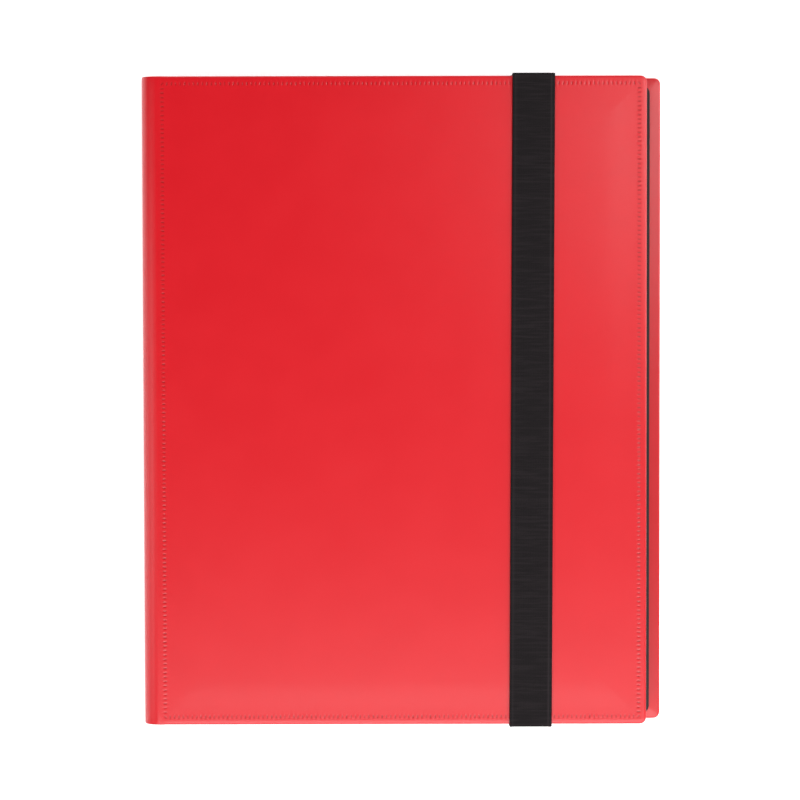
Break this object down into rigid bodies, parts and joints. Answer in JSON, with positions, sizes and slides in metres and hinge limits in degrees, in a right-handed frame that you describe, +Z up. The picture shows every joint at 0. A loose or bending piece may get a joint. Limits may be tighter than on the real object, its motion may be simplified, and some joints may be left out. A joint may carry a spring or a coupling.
{
  "type": "trading card binder",
  "caption": "Closed side-loading trading card binder with leathery padded covers, round spine, bound pocket leaves and a wide elastic strap.",
  "frame": {"origin": "middle of the closed binder's footprint, on the surface that its back cover lies on", "axes": "+X from the spine to the fore-edge, +Y to the head of the covers, +Z up through the thickness"},
  "size_m": [0.245, 0.3076, 0.0213],
  "materials": {
    "cover_leather": "satin",
    "board": "matte",
    "lining": "matte",
    "page_sheet": "matte",
    "pocket_film": "gloss",
    "elastic": "matte",
    "binding": "matte",
    "thread": "matte"
  },
  "bodies": {
    "back_cover": {"back_board": "board", "back_skin": "cover_leather", "back_lining": "lining", "strap_anchor_top": "elastic", "strap_anchor_bottom": "elastic", "strap_tacks": "thread"},
    "spine": {"spine_skin": "cover_leather", "spine_lining": "lining", "spine_stiffener": "board", "binding_core": "binding", "binding_tape": "lining", "binding_stitches": "thread"},
    "front_cover": {"front_board": "board", "front_skin": "cover_leather", "front_lining": "lining"},
    "strap": {"elastic_strap": "elastic"},
    "leaf_01": {"leaf_01_sheet": "page_sheet", "leaf_01_pockets": "pocket_film"},
    "leaf_02": {"leaf_02_sheet": "page_sheet", "leaf_02_pockets": "pocket_film"},
    "leaf_03": {"leaf_03_sheet": "page_sheet", "leaf_03_pockets": "pocket_film"},
    "leaf_04": {"leaf_04_sheet": "page_sheet", "leaf_04_pockets": "pocket_film"},
    "leaf_05": {"leaf_05_sheet": "page_sheet", "leaf_05_pockets": "pocket_film"},
    "leaf_06": {"leaf_06_sheet": "page_sheet", "leaf_06_pockets": "pocket_film"},
    "leaf_07": {"leaf_07_sheet": "page_sheet", "leaf_07_pockets": "pocket_film"},
    "leaf_08": {"leaf_08_sheet": "page_sheet", "leaf_08_pockets": "pocket_film"},
    "leaf_09": {"leaf_09_sheet": "page_sheet", "leaf_09_pockets": "pocket_film"},
    "leaf_10": {"leaf_10_sheet": "page_sheet", "leaf_10_pockets": "pocket_film"},
    "leaf_11": {"leaf_11_sheet": "page_sheet", "leaf_11_pockets": "pocket_film"},
    "leaf_12": {"leaf_12_sheet": "page_sheet", "leaf_12_pockets": "pocket_film"},
    "leaf_13": {"leaf_13_sheet": "page_sheet", "leaf_13_pockets": "pocket_film"},
    "leaf_14": {"leaf_14_sheet": "page_sheet", "leaf_14_pockets": "pocket_film"},
    "leaf_15": {"leaf_15_sheet": "page_sheet", "leaf_15_pockets": "pocket_film"},
    "leaf_16": {"leaf_16_sheet": "page_sheet", "leaf_16_pockets": "pocket_film"},
    "leaf_17": {"leaf_17_sheet": "page_sheet", "leaf_17_pockets": "pocket_film"},
    "leaf_18": {"leaf_18_sheet": "page_sheet", "leaf_18_pockets": "pocket_film"},
    "leaf_19": {"leaf_19_sheet": "page_sheet", "leaf_19_pockets": "pocket_film"},
    "leaf_20": {"leaf_20_sheet": "page_sheet", "leaf_20_pockets": "pocket_film"}
  },
  "joints": [
    {"name": "cover_open", "type": "hinge", "parent": "back_cover", "child": "spine", "pos_m": [-0.1203, 0, 0.0022], "axis": [0, -1, 0], "range_deg": [0, 90]},
    {"name": "front_cover_fold", "type": "hinge", "parent": "spine", "child": "front_cover", "pos_m": [-0.1203, 0, 0.0178], "axis": [0, -1, 0], "range_deg": [0, 90]},
    {"name": "strap_pull", "type": "slide", "parent": "back_cover", "child": "strap", "axis": [1, 0, 0], "range_m": [0, 0.075], "stiffness_N_per_m": 150, "deforming": ["elastic_strap"]},
    {"name": "leaf_01_turn", "type": "hinge", "parent": "spine", "child": "leaf_01", "pos_m": [-0.1165, 0, 0.00297], "axis": [0, -1, 0], "range_deg": [-90.74, 0]},
    {"name": "leaf_02_turn", "type": "hinge", "parent": "spine", "child": "leaf_02", "pos_m": [-0.11588, 0, 0.00371], "axis": [0, -1, 0], "range_deg": [-90.7, 0]},
    {"name": "leaf_03_turn", "type": "hinge", "parent": "spine", "child": "leaf_03", "pos_m": [-0.11526, 0, 0.00445], "axis": [0, -1, 0], "range_deg": [-90.66, 0]},
    {"name": "leaf_04_turn", "type": "hinge", "parent": "spine", "child": "leaf_04", "pos_m": [-0.11464, 0, 0.00519], "axis": [0, -1, 0], "range_deg": [-90.61, 0]},
    {"name": "leaf_05_turn", "type": "hinge", "parent": "spine", "child": "leaf_05", "pos_m": [-0.11402, 0, 0.00593], "axis": [0, -1, 0], "range_deg": [-90.57, 0]},
    {"name": "leaf_06_turn", "type": "hinge", "parent": "spine", "child": "leaf_06", "pos_m": [-0.1134, 0, 0.00667], "axis": [0, -1, 0], "range_deg": [-90.53, 0]},
    {"name": "leaf_07_turn", "type": "hinge", "parent": "spine", "child": "leaf_07", "pos_m": [-0.11278, 0, 0.00741], "axis": [0, -1, 0], "range_deg": [-90.48, 0]},
    {"name": "leaf_08_turn", "type": "hinge", "parent": "spine", "child": "leaf_08", "pos_m": [-0.11216, 0, 0.00815], "axis": [0, -1, 0], "range_deg": [-90.44, 0]},
    {"name": "leaf_09_turn", "type": "hinge", "parent": "spine", "child": "leaf_09", "pos_m": [-0.11154, 0, 0.00889], "axis": [0, -1, 0], "range_deg": [-90.4, 0]},
    {"name": "leaf_10_turn", "type": "hinge", "parent": "spine", "child": "leaf_10", "pos_m": [-0.11092, 0, 0.00963], "axis": [0, -1, 0], "range_deg": [-90.35, 0]},
    {"name": "leaf_11_turn", "type": "hinge", "parent": "spine", "child": "leaf_11", "pos_m": [-0.11092, 0, 0.01037], "axis": [0, -1, 0], "range_deg": [0, 90.35]},
    {"name": "leaf_12_turn", "type": "hinge", "parent": "spine", "child": "leaf_12", "pos_m": [-0.11154, 0, 0.01111], "axis": [0, -1, 0], "range_deg": [0, 90.4]},
    {"name": "leaf_13_turn", "type": "hinge", "parent": "spine", "child": "leaf_13", "pos_m": [-0.11216, 0, 0.01185], "axis": [0, -1, 0], "range_deg": [0, 90.44]},
    {"name": "leaf_14_turn", "type": "hinge", "parent": "spine", "child": "leaf_14", "pos_m": [-0.11278, 0, 0.01259], "axis": [0, -1, 0], "range_deg": [0, 90.48]},
    {"name": "leaf_15_turn", "type": "hinge", "parent": "spine", "child": "leaf_15", "pos_m": [-0.1134, 0, 0.01333], "axis": [0, -1, 0], "range_deg": [0, 90.53]},
    {"name": "leaf_16_turn", "type": "hinge", "parent": "spine", "child": "leaf_16", "pos_m": [-0.11402, 0, 0.01407], "axis": [0, -1, 0], "range_deg": [0, 90.57]},
    {"name": "leaf_17_turn", "type": "hinge", "parent": "spine", "child": "leaf_17", "pos_m": [-0.11464, 0, 0.01481], "axis": [0, -1, 0], "range_deg": [0, 90.61]},
    {"name": "leaf_18_turn", "type": "hinge", "parent": "spine", "child": "leaf_18", "pos_m": [-0.11526, 0, 0.01555], "axis": [0, -1, 0], "range_deg": [0, 90.66]},
    {"name": "leaf_19_turn", "type": "hinge", "parent": "spine", "child": "leaf_19", "pos_m": [-0.11588, 0, 0.01629], "axis": [0, -1, 0], "range_deg": [0, 90.7]},
    {"name": "leaf_20_turn", "type": "hinge", "parent": "spine", "child": "leaf_20", "pos_m": [-0.1165, 0, 0.01703], "axis": [0, -1, 0], "range_deg": [0, 90.74]}
  ],
  "couplings": [
    {"joint": "front_cover_fold", "follows": "cover_open", "ratio": 1},
    {"joint": "leaf_01_turn", "follows": "cover_open", "ratio": -1.0083},
    {"joint": "leaf_02_turn", "follows": "cover_open", "ratio": -1.0078},
    {"joint": "leaf_03_turn", "follows": "cover_open", "ratio": -1.0073},
    {"joint": "leaf_04_turn", "follows": "cover_open", "ratio": -1.0068},
    {"joint": "leaf_05_turn", "follows": "cover_open", "ratio": -1.0063},
    {"joint": "leaf_06_turn", "follows": "cover_open", "ratio": -1.0059},
    {"joint": "leaf_07_turn", "follows": "cover_open", "ratio": -1.0054},
    {"joint": "leaf_08_turn", "follows": "cover_open", "ratio": -1.0049},
    {"joint": "leaf_09_turn", "follows": "cover_open", "ratio": -1.0044},
    {"joint": "leaf_10_turn", "follows": "cover_open", "ratio": -1.0039},
    {"joint": "leaf_11_turn", "follows": "cover_open", "ratio": 1.0039},
    {"joint": "leaf_12_turn", "follows": "cover_open", "ratio": 1.0044},
    {"joint": "leaf_13_turn", "follows": "cover_open", "ratio": 1.0049},
    {"joint": "leaf_14_turn", "follows": "cover_open", "ratio": 1.0054},
    {"joint": "leaf_15_turn", "follows": "cover_open", "ratio": 1.0059},
    {"joint": "leaf_16_turn", "follows": "cover_open", "ratio": 1.0063},
    {"joint": "leaf_17_turn", "follows": "cover_open", "ratio": 1.0068},
    {"joint": "leaf_18_turn", "follows": "cover_open", "ratio": 1.0073},
    {"joint": "leaf_19_turn", "follows": "cover_open", "ratio": 1.0078},
    {"joint": "leaf_20_turn", "follows": "cover_open", "ratio": 1.0083}
  ]
}
